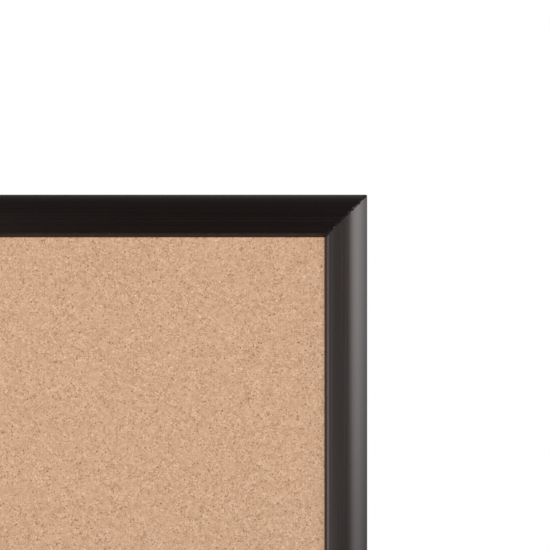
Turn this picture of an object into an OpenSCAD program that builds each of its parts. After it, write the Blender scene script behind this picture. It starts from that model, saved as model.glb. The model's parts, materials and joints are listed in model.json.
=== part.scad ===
// Wall-hung cork bulletin board in a mitred, black-stained wood moulding.
//
// Frame: X runs along the board's width, Z is up, and Y points at the wall. The origin is
// the centre of the board's outline on the wall plane, so the cork faces -Y.
// A moulding is drawn in (u, v): u runs inwards from its outer edge, v forwards from its back.

/* [Board] */
// Overall width, across the frame
board_w = 914; // [500:1:1220]
// Overall height, across the frame
board_h = 610; // [400:1:920]

/* [Moulding] */
// Width of the moulding's face
rail_w = 32; // [30:0.5:35]
// Depth of the moulding, from its back to its ridge
rail_d = 19; // [19:0.5:24]
// Distance of the ridge, the highest line, from the outer edge
ridge_u = 15; // [12:0.5:16]
// Radius of the face from the ridge to the outer edge
outer_r = 20; // [20:1:40]
// Radius of the face from the ridge to the sight edge
inner_r = 85; // [85:5:200]
// Radius of the rounded sight edge
sight_r = 2.5; // [1:0.1:2.5]
// Lean of the wall below the sight edge, in degrees
sight_lean = 38; // [30:1:42]
// Depth of the rabbet that takes the panel
rabbet_d = 14.75; // [13.5:0.25:15]
// How far the lip laps over the rabbet
lip_w = 8; // [7:0.5:10]

/* [Panel] */
// Thickness of the cork
cork_t = 3; // [2:0.5:4]
// Thickness of the fibreboard core
core_t = 6.4; // [5:0.1:6.5]
// Thickness of the kraft backing
backing_t = 0.4; // [0.2:0.1:0.5]
// Gap all round between the panel and the rabbet's wall
panel_gap = 1; // [0.5:0.25:2]

/* [Retaining points] */
// Number of points along the top, and along the bottom
points_across = 5; // [2:1:7]
// Number of points up each side
points_up = 3; // [2:1:5]
// Width of a point
point_w = 8; // [6:0.5:10]
// Length of a point, about a third of which is in the wood
point_len = 18; // [14:0.5:20]
// Thickness of a point
point_t = 0.6; // [0.4:0.1:0.8]

/* [Mitre nails] */
// Leg of a V nail
nail_leg = 6; // [4:0.5:6]
// Thickness of a V nail's steel
nail_t = 0.6; // [0.4:0.1:0.8]
// Depth to which a V nail is driven
nail_depth = 10; // [6:0.5:10]

/* [Hangers] */
// Height of the hinge pin below the board's top edge
hanger_drop = 110; // [60:5:160]
// Length of the folded strap below the hinge pin
strap_len = 46; // [44:1:60]
// Width of the strap
strap_w = 12.7; // [10:0.1:13]
// Thickness of one layer of the strap
strap_t = 0.8; // [0.6:0.1:1]
// Radius of the ring's wire
wire_r = 1.2; // [1:0.1:1.4]
// Angle at which a ring rests against its strap, in degrees
ring_rest = 4.5; // [4.5:0.5:10]

/* [Wall bumpers] */
// Distance from the moulding's back to the wall
bumper_h = 5; // [4.5:0.5:8]
// Radius of a bumper where it is glued on
bumper_r = 7; // [5:0.5:8]

/* [Hidden] */

STAIN = "#2b2423";
CORK = "#cca688";
FIBREBOARD = "#8b6b4c";
KRAFT = "#b48f63";
STEEL = "#b8bbbf";
RUBBER = "#3a3a3c";

// The four sides, as quarter turns about Y from the top
TOP = 0;
RIGHT = 1;
BOTTOM = 2;
LEFT = 3;

// Moulding
rabbet_u = rail_w - lip_w;
outer_centre = [ridge_u, rail_d - outer_r];
inner_centre = [ridge_u, rail_d - inner_r];
outer_arc_n = 24;
inner_arc_n = 10;
sight_arc_n = 8;
cut_over = 10;

// The rounded sight edge touches the face's arc and the leaning wall below it. Its centre is
// sight_r inside the wall, and sight_r inside the arc.
sight_out = [cos(sight_lean), sin(sight_lean)];
sight_up = [-sin(sight_lean), cos(sight_lean)];
sight_foot = [rail_w, rabbet_d];
foot_in = sight_foot - sight_r * sight_out;
foot_from_arc = foot_in - inner_centre;
foot_along = foot_from_arc * sight_up;
sight_rise = sqrt(pow(foot_along, 2) - foot_from_arc * foot_from_arc + pow(inner_r - sight_r, 2))
    - foot_along;
sight_centre = foot_in + sight_rise * sight_up;
sight_from_arc = sight_centre - inner_centre;
sight_start = atan2(sight_from_arc.y, sight_from_arc.x);

// Panel, whose front lies against the lip
panel_w = board_w - 2 * (rabbet_u + panel_gap);
panel_h = board_h - 2 * (rabbet_u + panel_gap);
cork_y = -bumper_h - rabbet_d;
core_y = cork_y + cork_t;
backing_y = core_y + core_t;
panel_back_y = backing_y + backing_t;

// Retaining points
point_in = 7;
point_tip = 4;
point_margin = 60;

// Mitre nails: where each one's fold lies, as u on both mouldings of a corner
nail_places = [6, 15];
nail_spread = 40;

// Hangers
land_mid = 12;
bore_r = wire_r + 0.05;
loop_r = bore_r + strap_t;
neck = 6;
hinge_x = board_w / 2 - land_mid;
hinge_y = loop_r - bumper_h;
hinge_z = board_h / 2 - hanger_drop;
screw_drops = [22, 38];
strap_hole_r = 1.9;
ring_half = 9;
ring_bend = 2.2;
ring_arm = 6;
swept_fn = 48;

// Screws
head_r = 3.4;
head_h = 2;
head_dome_r = 4.6;
shank_r = 1.6;
shank_len = 9;
tip_len = 3;
recess_w = 0.9;
recess_len = 3.6;
recess_d = 1.1;

// Bumpers
bumper_face_r = bumper_r - 1.5;
bumper_x = board_w / 2 - 50;

function arc(centre, r, from, to, n) =
    [for (i = [0:n]) let (a = from + (to - from) * i / n) centre + r * [cos(a), sin(a)]];

function evenly(count, span) =
    [for (i = [0:count - 1]) (i / (count - 1) - 0.5) * span];

function side_len(side) = side % 2 == 0 ? board_w : board_h;

// Turns a side drawn along X, with its outer edge on Z = 0 and its body below, into its place.
module at_side(side) {
    rotate([0, 90 * side, 0])
        translate([0, 0, side_len(side + 1) / 2])
            children();
}

// Draws a plan in X and Z, and gives it thickness from y forwards, towards -Y.
module plan(y, thickness) {
    translate([0, y, 0])
        rotate([90, 0, 0])
            linear_extrude(thickness)
                children();
}

module moulding_section() {
    polygon(concat(
        [[0, 0]],
        arc(outer_centre, outer_r, acos(-ridge_u / outer_r), 90, outer_arc_n),
        arc(inner_centre, inner_r, 90, sight_start, inner_arc_n),
        arc(sight_centre, sight_r, sight_start, sight_lean, sight_arc_n),
        [sight_foot, [rabbet_u, rabbet_d], [rabbet_u, 0]]
    ));
}

// One length of moulding, cut to 45 degrees at both ends.
module mitred_length(length) {
    intersection() {
        translate([0, -bumper_h, 0])
            rotate([0, 90, 180])
                linear_extrude(length, center = true)
                    moulding_section();
        plan(0, rail_d + bumper_h + cut_over)
            polygon([
                [-length / 2, 0],
                [length / 2, 0],
                [length / 2 - rail_w - cut_over, -rail_w - cut_over],
                [-length / 2 + rail_w + cut_over, -rail_w - cut_over],
            ]);
    }
}

// A moulding in its place, with the slots for its points and nails.
module frame_side(side) {
    color(STAIN)
        difference() {
            at_side(side)
                mitred_length(side_len(side));
            retaining_points(side);
            for (across = [-1, 1], up = [-1, 1])
                mitre_nails(across, up);
            for (across = [-1, 1])
                hanger_screws(across);
        }
}

module panel_layer(y, thickness) {
    plan(y + thickness, thickness)
        square([panel_w, panel_h], center = true);
}

module cork_sheet() {
    color(CORK)
        panel_layer(cork_y, cork_t);
}

module core_board() {
    color(FIBREBOARD)
        panel_layer(core_y, core_t);
}

module kraft_backing() {
    color(KRAFT)
        panel_layer(backing_y, backing_t);
}

// Flat steel points, driven into the rabbet's wall behind the panel.
module retaining_points(side) {
    count = side % 2 == 0 ? points_across : points_up;
    span = side_len(side) - 2 * (rail_w + point_margin);
    tip = -rabbet_u + point_in;
    tail = tip - point_len;
    color(STEEL)
        at_side(side)
            plan(panel_back_y + point_t, point_t)
                for (x = evenly(count, span))
                    translate([x, 0])
                        polygon([
                            [-point_w / 2, tail],
                            [point_w / 2, tail],
                            [point_w / 2, tip - point_tip],
                            [0, tip],
                            [-point_w / 2, tip - point_tip],
                        ]);
}

// V nails across one corner's mitre, flush with the moulding's back.
module mitre_nails(across, up) {
    inwards = atan2(-up, -across);
    color(STEEL)
        plan(-bumper_h, nail_depth)
            for (u = nail_places)
                translate([across * (board_w / 2 - u), up * (board_h / 2 - u)])
                    for (leg = [-1, 1])
                        rotate(inwards + leg * nail_spread)
                            translate([-nail_t / 2, -nail_t / 2])
                                square([nail_leg, nail_t]);
}

// The strap seen from its edge, folded round the hinge pin, with Z along X and Y up.
module strap_fold() {
    tail = [-neck, 2 * strap_t];
    to_pin = [neck, loop_r - 2 * strap_t];
    lift = atan2(to_pin.y, to_pin.x) + asin(loop_r / norm(to_pin));
    run = sqrt(to_pin * to_pin - loop_r * loop_r);
    difference() {
        union() {
            translate([-strap_len, 0])
                square([strap_len - neck, 2 * strap_t]);
            polygon([[-neck, 0], [0, 0], [0, loop_r], tail + run * [cos(lift), sin(lift)], tail]);
            translate([0, loop_r])
                circle(loop_r, $fn = swept_fn);
        }
        translate([0, loop_r])
            circle(bore_r, $fn = swept_fn);
    }
}

module hanger_strap(across) {
    color(STEEL)
        translate([across * hinge_x, -bumper_h, hinge_z])
            difference() {
                intersection() {
                    rotate([0, -90, 0])
                        linear_extrude(strap_w, center = true)
                            strap_fold();
                    plan(2 * loop_r + cut_over, 2 * (loop_r + cut_over))
                        union() {
                            translate([-strap_w / 2, -strap_len + strap_w / 2])
                                square([strap_w, strap_len]);
                            translate([0, -strap_len + strap_w / 2])
                                circle(strap_w / 2, $fn = swept_fn);
                        }
                }
                for (drop = screw_drops)
                    translate([0, -1, -drop])
                        rotate([-90, 0, 0])
                            cylinder(r = strap_hole_r, h = 2 * strap_t + 2, $fn = swept_fn);
            }
}

// One pan-head screw, driven along -Z, with the underside of its head on Z = 0.
module pan_head_screw() {
    difference() {
        intersection() {
            cylinder(r = head_r, h = head_h, $fn = swept_fn);
            translate([0, 0, head_h - head_dome_r])
                sphere(head_dome_r, $fn = swept_fn);
        }
        for (turn = [0, 90])
            rotate(turn)
                translate([-recess_len / 2, -recess_w / 2, head_h - recess_d])
                    cube([recess_len, recess_w, recess_d + 1]);
    }
    translate([0, 0, -shank_len])
        cylinder(r = shank_r, h = shank_len, $fn = swept_fn);
    translate([0, 0, -shank_len - tip_len])
        cylinder(r1 = 0, r2 = shank_r, h = tip_len, $fn = swept_fn);
}

module hanger_screws(across) {
    color(STEEL)
        for (drop = screw_drops)
            translate([across * hinge_x, 2 * strap_t - bumper_h, hinge_z - drop])
                rotate([-90, 0, 0])
                    pan_head_screw();
}

module wire_arc(radius, from, sweep) {
    rotate(from)
        rotate_extrude(angle = sweep, $fn = swept_fn)
            translate([radius, 0])
                circle(wire_r, $fn = swept_fn);
}

// Drawn hanging in X and Y, with the hinge pin on the X axis.
module ring_wire() {
    pin_half = ring_half - ring_bend;
    translate([-pin_half, 0, 0])
        rotate([0, 90, 0])
            cylinder(r = wire_r, h = 2 * pin_half, $fn = swept_fn);
    for (across = [-1, 1]) {
        translate([across * pin_half, -ring_bend, 0])
            wire_arc(ring_bend, across > 0 ? 0 : 90, 90);
        translate([across * ring_half, -ring_bend, 0])
            rotate([90, 0, 0])
                cylinder(r = wire_r, h = ring_arm - ring_bend, $fn = swept_fn);
    }
    translate([0, -ring_arm, 0])
        wire_arc(ring_half, 180, 180);
}

module d_ring(across) {
    color(STEEL)
        translate([across * hinge_x, hinge_y, hinge_z])
            rotate([90 + ring_rest, 0, 0])
                ring_wire();
}

module wall_bumper(across) {
    color(RUBBER)
        translate([across * bumper_x, -bumper_h, land_mid - board_h / 2])
            rotate([-90, 0, 0])
                cylinder(r1 = bumper_r, r2 = bumper_face_r, h = bumper_h, $fn = swept_fn);
}

frame_side(TOP);  // top_rail
frame_side(RIGHT);  // right_stile
frame_side(BOTTOM);  // bottom_rail
frame_side(LEFT);  // left_stile
cork_sheet();
core_board();
kraft_backing();
mitre_nails(-1, 1);  // mitre_nails_top_left
mitre_nails(1, 1);  // mitre_nails_top_right
mitre_nails(-1, -1);  // mitre_nails_bottom_left
mitre_nails(1, -1);  // mitre_nails_bottom_right
retaining_points(TOP);  // retaining_points_top
retaining_points(RIGHT);  // retaining_points_right
retaining_points(BOTTOM);  // retaining_points_bottom
retaining_points(LEFT);  // retaining_points_left
hanger_strap(-1);  // hanger_strap_left
hanger_strap(1);  // hanger_strap_right
hanger_screws(-1);  // hanger_screws_left
hanger_screws(1);  // hanger_screws_right
d_ring(-1);  // d_ring_left
d_ring(1);  // d_ring_right
wall_bumper(-1);  // wall_bumper_left
wall_bumper(1);  // wall_bumper_right
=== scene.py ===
"""A wall-hung cork bulletin board in a mitred, ebony-stained wood moulding.

X runs along the board's width, Z is up and the cork faces -Y. Everything is in metres.
A moulding is drawn in (u, v): u runs inwards from its outer edge, v forwards from its back.
"""

import json
import math

import bmesh
import bpy
import numpy as np
from mathutils import Matrix, Vector


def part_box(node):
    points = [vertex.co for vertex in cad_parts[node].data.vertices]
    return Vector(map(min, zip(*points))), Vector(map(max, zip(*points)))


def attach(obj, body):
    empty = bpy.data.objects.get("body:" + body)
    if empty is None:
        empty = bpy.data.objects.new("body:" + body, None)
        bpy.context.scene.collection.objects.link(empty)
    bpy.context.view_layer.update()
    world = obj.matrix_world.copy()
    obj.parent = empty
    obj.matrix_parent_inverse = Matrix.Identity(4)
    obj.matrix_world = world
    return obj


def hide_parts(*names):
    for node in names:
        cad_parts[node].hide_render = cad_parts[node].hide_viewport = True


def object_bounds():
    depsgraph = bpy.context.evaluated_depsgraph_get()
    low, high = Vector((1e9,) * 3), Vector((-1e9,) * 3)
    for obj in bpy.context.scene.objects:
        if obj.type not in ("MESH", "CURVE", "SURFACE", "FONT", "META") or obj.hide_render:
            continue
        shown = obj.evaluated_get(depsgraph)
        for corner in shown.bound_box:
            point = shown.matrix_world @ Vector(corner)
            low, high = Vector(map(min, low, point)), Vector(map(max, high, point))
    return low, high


bl_info = {
    "name": "Cork bulletin board",
    "version": (1, 0, 0),
    "blender": (4, 5, 0),
    "location": "3D View > Sidebar > Board",
    "description": "Makes a framed cork bulletin board with its panel, fixings and hangers",
    "category": "Add Mesh",
}

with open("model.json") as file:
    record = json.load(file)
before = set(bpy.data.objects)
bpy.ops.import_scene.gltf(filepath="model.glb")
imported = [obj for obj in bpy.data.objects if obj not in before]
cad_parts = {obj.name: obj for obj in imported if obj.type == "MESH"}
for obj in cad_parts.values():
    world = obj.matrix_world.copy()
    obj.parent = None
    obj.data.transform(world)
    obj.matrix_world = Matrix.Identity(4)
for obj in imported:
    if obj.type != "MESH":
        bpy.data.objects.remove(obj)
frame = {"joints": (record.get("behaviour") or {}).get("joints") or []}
CAD_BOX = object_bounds()

MM = 0.001
SIDES = ("top", "right", "bottom", "left")
RAIL_NODES = ("top_rail", "right_stile", "bottom_rail", "left_stile")
CORNERS = (("top", "left"), ("top", "right"), ("bottom", "left"), ("bottom", "right"))
ACROSS = {"left": -1, "right": 1}
UP = {"top": 1, "bottom": -1}

RAIL_LO, RAIL_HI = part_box("top_rail")
STILE_LO, STILE_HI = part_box("right_stile")
CORK_LO, CORK_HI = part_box("cork_sheet")
CORE_LO, CORE_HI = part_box("core_board")
KRAFT_LO, KRAFT_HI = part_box("kraft_backing")
HALF_W, HALF_H = RAIL_HI.x, STILE_HI.z
BACK_Y, FRONT_Y = RAIL_HI.y, RAIL_LO.y
JOINT_DARK = (0.001, 0.001, 0.001)


# ---------------------------------------------------------------- settings

def length(name, description, default, **more):
    return bpy.props.FloatProperty(
        name=name, description=description, default=default, unit="LENGTH", precision=5, **more)


def colour(name, description, default):
    return bpy.props.FloatVectorProperty(
        name=name, description=description, default=default, subtype="COLOR", size=3,
        min=0, max=1)


def share(name, description, default):
    return bpy.props.FloatProperty(
        name=name, description=description, default=default, min=0, max=1, subtype="FACTOR")


def angle(name, description, degrees):
    return bpy.props.FloatProperty(
        name=name, description=description, default=math.radians(degrees), subtype="ANGLE")


def radiance(name, description, default):
    return bpy.props.FloatProperty(name=name, description=description, default=default, min=0)


class MouldingSettings(bpy.types.PropertyGroup):
    ridge: length("Ridge", "Distance of the ridge from the outer edge", 15 * MM)
    outer_radius: length("Outer radius", "Radius of the face outside the ridge", 20 * MM)
    inner_radius: length("Inner radius", "Radius of the face inside the ridge", 85 * MM)
    sight_radius: length("Sight radius", "Radius of the rounded sight edge", 2.5 * MM)
    sight_lean: angle("Sight lean", "Lean of the wall below the sight edge", 38)
    lip: length("Lip", "How far the lip laps over the panel", 8 * MM)
    rabbet: length("Rabbet", "Depth of the rabbet from the back", 14.75 * MM)
    arris: length("Arris", "Radius of the eased outer edge", 0.7 * MM)
    chip_width: length("Chip width", "Width of the eased and chipped mitre edge", 0.7 * MM)
    chip_depth: length("Chip depth", "Depth of the eased mitre edge", 0.4 * MM)
    corner: length("Corner", "How far the outer corners are rubbed back", 0.45 * MM)
    relief: length("Relief", "Depth of the grain that shows through the finish", 0.012 * MM)
    rings: bpy.props.IntProperty(
        name="Rings", description="Sections along one length", default=168, min=8)
    stain: colour("Stain", "Colour of the stained wood", (0.0078, 0.0056, 0.0054))
    stain_worn: colour("Worn stain", "Colour where the stain has rubbed thin",
                       (0.040, 0.022, 0.012))
    # painted shade and painted reflection: this dark brown on the sight edge's wall stands in for
    # its shadow and for the cork's brown reflected in it
    painted_wall_shade: colour("Thin stain", "Colour of the sight edge's wall, which took less stain",
                       (0.012, 0.004, 0.0006))
    bare: colour("Bare wood", "Colour of the unstained back", (0.60, 0.42, 0.25))
    bare_dark: colour("Late wood", "Colour of its darker grain", (0.42, 0.25, 0.125))
    roughness: share("Roughness", "Roughness of the satin finish", 0.27)


class CorkSettings(bpy.types.PropertyGroup):
    cell: length("Cell", "Spacing of the points on the sheet's face", 2.35 * MM)
    relief: length("Relief", "Depth of the pits in the face", 0.12 * MM)
    granule: length("Granule", "Size of a cork granule", 2.6 * MM)
    dark: colour("Dark", "Colour of bark specks", (0.150, 0.070, 0.032))
    low: colour("Low", "Colour of the darker granules", (0.418, 0.265, 0.159))
    body: colour("Body", "Colour of most of the granules", (0.541, 0.364, 0.235))
    high: colour("High", "Colour of the lighter granules", (0.656, 0.481, 0.337))


class BackingSettings(bpy.types.PropertyGroup):
    board: colour("Fibreboard", "Colour of the core board", (0.26, 0.16, 0.085))
    board_dark: colour("Dark fibres", "Colour of the core's darker fibres", (0.13, 0.075, 0.038))
    kraft: colour("Kraft", "Colour of the backing paper", (0.42, 0.245, 0.115))
    kraft_dark: colour("Dark flecks", "Colour of the paper's flecks", (0.27, 0.155, 0.070))
    wrinkle: length("Wrinkle", "Depth of the paper's wrinkles", 0.22 * MM)


class FixingSettings(bpy.types.PropertyGroup):
    point_width: length("Point width", "Width of a retaining point", 8 * MM)
    point_length: length("Point length", "Length of a retaining point", 18 * MM)
    point_drive: length("Point drive", "How far a point is driven into the wood", 7 * MM)
    point_tip: length("Point tip", "Length of a point's tapered tip", 4 * MM)
    nail_leg: length("Nail leg", "Leg of a V nail", 6 * MM)
    nail_thickness: length("Nail thickness", "Thickness of a V nail's steel", 0.6 * MM)
    nail_spread: angle("Nail spread", "Angle from a V nail's middle to each leg", 40)
    steel: colour("Steel", "Colour of the blued steel", (0.20, 0.20, 0.21))
    rust: colour("Tarnish", "Colour of its tarnish", (0.085, 0.055, 0.040))


class HangerSettings(bpy.types.PropertyGroup):
    sheet: length("Sheet", "Thickness of one layer of a strap", 0.8 * MM)
    slit: length("Slit", "Gap between a strap's two layers", 0.07 * MM)
    neck: length("Neck", "Where a strap starts to rise to its pin", 6 * MM)
    wire: length("Wire", "Radius of a ring's wire", 1.2 * MM)
    clearance: length("Clearance", "Gap between a ring's wire and the fold", 0.05 * MM)
    hole: length("Hole", "Radius of a strap's screw holes", 1.9 * MM)
    first_screw: length("First screw", "Distance of the first screw below the pin", 22 * MM)
    second_screw: length("Second screw", "Distance of the second screw below the pin", 38 * MM)
    ring_half: length("Ring half width", "From a ring's middle to its wire's middle", 9 * MM)
    ring_bend: length("Ring bend", "Radius of a ring's corners", 2.2 * MM)
    ring_arm: length("Ring arm", "From the pin to where a ring's bow starts", 6 * MM)
    ring_rest: angle("Ring rest", "Angle at which a ring hangs off its strap", 4.5)
    zinc: colour("Zinc", "Colour of the plating", (0.66, 0.65, 0.62))
    zinc_dull: colour("Dull zinc", "Colour where the plating has dulled", (0.40, 0.39, 0.37))


class BumperSettings(bpy.types.PropertyGroup):
    ease: length("Ease", "Radius of a bumper's eased edges", 0.7 * MM)
    rubber: colour("Rubber", "Colour of the rubber", (0.022, 0.022, 0.024))
    dust: colour("Dust", "Colour of the dust on it", (0.13, 0.125, 0.12))


class StageSettings(bpy.types.PropertyGroup):
    lens: bpy.props.FloatProperty(
        name="Lens", description="Focal length in millimetres", default=100, unit="CAMERA")
    distance: length("Distance", "From the camera to the board's front", 1.133)
    in_from_edge: length("In from the edge", "From the board's right edge to the camera", 0.0688)
    down_from_top: length("Down from the top", "From the board's top to the camera", 0.05997)
    floor_radius: length("Floor radius", "Radius of the floor", 1.30)
    floor: colour("Floor", "Colour of the floor", (0.80, 0.79, 0.775))
    key: radiance("Key", "Radiance of the soft box on the right", 7.0)
    fill: radiance("Fill", "Radiance of the soft box on the left", 5.0)
    overhead: radiance("Overhead", "Radiance of the ceiling in front", 0.20)
    rear: radiance("Rear", "Radiance of the ceiling behind the board", 1.7)


SETTINGS = {
    "board_moulding": MouldingSettings,
    "board_cork": CorkSettings,
    "board_backing": BackingSettings,
    "board_fixings": FixingSettings,
    "board_hangers": HangerSettings,
    "board_bumpers": BumperSettings,
    "board_stage": StageSettings,
}


# ---------------------------------------------------------------- node trees

class Graph:
    """Adds nodes to a tree and joins them. A value is a number, a tuple or a socket."""

    def __init__(self, tree):
        self.tree = tree

    def feed(self, socket, value):
        if isinstance(value, bpy.types.NodeSocket):
            self.tree.links.new(value, socket)
        elif value is not None:
            socket.default_value = value

    def fill(self, node, inputs):
        for key, value in inputs.items():
            self.feed(node.inputs[key], value)

    def node(self, kind, inputs=None, **settings):
        made = self.tree.nodes.new(kind)
        for key, value in settings.items():
            setattr(made, key, value)
        self.fill(made, inputs or {})
        return made

    def math(self, operation, a, b=None, c=None, clamp=False):
        made = self.node("ShaderNodeMath", operation=operation, use_clamp=clamp)
        for socket, value in zip(made.inputs, (a, b, c)):
            self.feed(socket, value)
        return made.outputs[0]

    def add(self, a, b):
        return self.math("ADD", a, b)

    def subtract(self, a, b):
        return self.math("SUBTRACT", a, b)

    def times(self, a, b):
        return self.math("MULTIPLY", a, b)

    def total(self, *values):
        whole = values[0]
        for value in values[1:]:
            whole = self.add(whole, value)
        return whole

    def greatest(self, values):
        most = values[0]
        for value in values[1:]:
            most = self.math("MAXIMUM", most, value)
        return most

    def swing(self, value, width):
        """A value from 0 to 1 as an offset of width about nought."""
        return self.times(self.subtract(value, 0.5), width)

    def vector(self, operation, a, b=None):
        made = self.node("ShaderNodeVectorMath", operation=operation)
        self.feed(made.inputs[0], a)
        if b is not None:
            self.feed(made.inputs["Scale" if operation == "SCALE" else 1], b)
        return made.outputs[0]

    def xyz(self, x=0.0, y=0.0, z=0.0):
        return self.node("ShaderNodeCombineXYZ", {"X": x, "Y": y, "Z": z}).outputs[0]

    def parts(self, vector):
        return self.node("ShaderNodeSeparateXYZ", {0: vector}).outputs

    def between(self, value, low, high, to_low=0.0, to_high=1.0, smooth=True):
        """value from low to high, eased to to_low to to_high."""
        return self.node(
            "ShaderNodeMapRange",
            {"Value": value, "From Min": low, "From Max": high, "To Min": to_low,
             "To Max": to_high},
            interpolation_type="SMOOTHSTEP" if smooth else "LINEAR", clamp=True).outputs[0]

    def mix(self, factor, a, b):
        made = self.node("ShaderNodeMix", data_type="RGBA", clamp_factor=True)
        self.feed(made.inputs[0], factor)
        self.feed(made.inputs[6], rgba(a))
        self.feed(made.inputs[7], rgba(b))
        return made.outputs[2]

    def ramp(self, factor, stops):
        made = self.node("ShaderNodeValToRGB", {"Fac": factor})
        line = made.color_ramp.elements
        while len(line) < len(stops):
            line.new(0.5)
        for element, (place, tint) in zip(line, stops):
            element.position = place
            element.color = rgba(tint)
        return made.outputs[0]

    def per(self, size):
        """How many of a size go into a metre."""
        if isinstance(size, bpy.types.NodeSocket):
            return self.math("DIVIDE", 1.0, size)
        return 1 / size

    def noise(self, vector, size, detail=2.0, roughness=0.5):
        """Noise from 0 to 1 whose lumps are about size across."""
        return self.node("ShaderNodeTexNoise", {
            "Vector": vector, "Scale": self.per(size), "Detail": detail,
            "Roughness": roughness}).outputs[0]

    def pushed(self, vector, place, scale, reach):
        """vector pushed about by up to reach, by noise at place."""
        push = self.node("ShaderNodeTexNoise", {
            "Vector": place, "Scale": scale, "Detail": 1.0}).outputs["Color"]
        return self.vector("ADD", vector, self.vector("SCALE", push, reach))

    def cells(self, vector, size, feature="F1"):
        """A Voronoi node whose cells are about size across."""
        return self.node("ShaderNodeTexVoronoi", {
            "Vector": vector, "Scale": self.per(size)}, feature=feature)

    def bump(self, height, distance, strength=1.0):
        return self.node("ShaderNodeBump", {
            "Height": height, "Distance": distance, "Strength": strength}).outputs[0]

    def call(self, group, inputs):
        return self.node("ShaderNodeGroup", inputs, node_tree=group).outputs


def rgba(value):
    if isinstance(value, bpy.types.NodeSocket):
        return value
    return (*value[:3], 1.0)


def shade(tint, factor):
    """A colour made darker, or lighter if factor is over 1."""
    return tuple(min(c * factor, 1) for c in tint)


SOCKETS = {float: "NodeSocketFloat", tuple: "NodeSocketVector", int: "NodeSocketInt"}


def new_group(name, kind, inputs, outputs):
    """An empty node group. inputs maps a name to its default, or to a socket type."""
    group = bpy.data.node_groups.new(name, kind)
    for label, value in inputs.items():
        sort = value if isinstance(value, str) else SOCKETS[type(value)]
        socket = group.interface.new_socket(label, in_out="INPUT", socket_type=sort)
        if not isinstance(value, str):
            socket.default_value = value
    for label, sort in outputs.items():
        group.interface.new_socket(label, in_out="OUTPUT", socket_type=sort)
    graph = Graph(group)
    return group, graph, graph.node("NodeGroupInput").outputs, graph.node("NodeGroupOutput")


def shader_group(name, inputs, outputs):
    """The group of that name if it's there already, or else a new one to fill."""
    if name in bpy.data.node_groups:
        return bpy.data.node_groups[name], None, None, None
    return new_group(name, "ShaderNodeTree", inputs,
                     {label: "NodeSocketFloat" for label in outputs})


def material(name):
    """A new material, its graph, and its Principled shader."""
    made = bpy.data.materials.new(name)
    made.use_nodes = True
    made.node_tree.nodes.clear()
    graph = Graph(made.node_tree)
    shader = graph.node("ShaderNodeBsdfPrincipled")
    graph.node("ShaderNodeOutputMaterial", {"Surface": shader.outputs[0]})
    return made, graph, shader


def object_place(graph):
    return graph.node("ShaderNodeTexCoord").outputs["Object"]


def attribute(graph, name, output="Vector"):
    return graph.node("ShaderNodeAttribute", attribute_name=name).outputs[output]


def rotated(graph, vector, axis, angle):
    return graph.node("ShaderNodeVectorRotate", {
        "Vector": vector, "Axis": axis, "Angle": angle}).outputs[0]


# ---------------------------------------------------------------- shared effects

def wood_grain():
    """Streaks, pores and a slow drift along the wood, from (run, girth, seed) in metres."""
    group, g, given, out = shader_group(
        "wood_grain", {"Grain": (0.0, 0.0, 0.0), "Streak": 0.0012, "Reach": 0.16},
        ("Streaks", "Pores", "Drift", "Rings"))
    if g is None:
        return group
    run, girth, seed = g.parts(given["Grain"])

    def drawn(along, across, detail=1.0):
        """Noise drawn out along the wood, with that many lumps to a metre each way."""
        return g.noise(g.xyz(g.times(run, along), g.times(girth, across), seed), 1.0, detail)

    girth = g.add(girth, g.swing(drawn(3.0, 12.0), 0.004))
    streaks = g.xyz(g.math("DIVIDE", run, given["Reach"]),
                    g.math("DIVIDE", girth, given["Streak"]), seed)
    # a ring darkens slowly and ends at once
    turns = g.add(g.times(girth, 230.0),
                  g.add(g.times(drawn(1.6, 18.0), 5.0), g.times(drawn(0.9, 130.0), 1.6)))
    turns = g.math("FRACT", turns)
    g.fill(out, {
        "Streaks": g.noise(streaks, 1.0, 3.0, 0.6),
        "Pores": g.between(drawn(160.0, 2600.0), 0.60, 0.74),
        "Drift": drawn(4.0, 70.0, 2.0),
        "Rings": g.times(g.between(turns, 0.15, 0.86), g.between(turns, 0.90, 1.0, 1.0, 0.0))})
    return group


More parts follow.
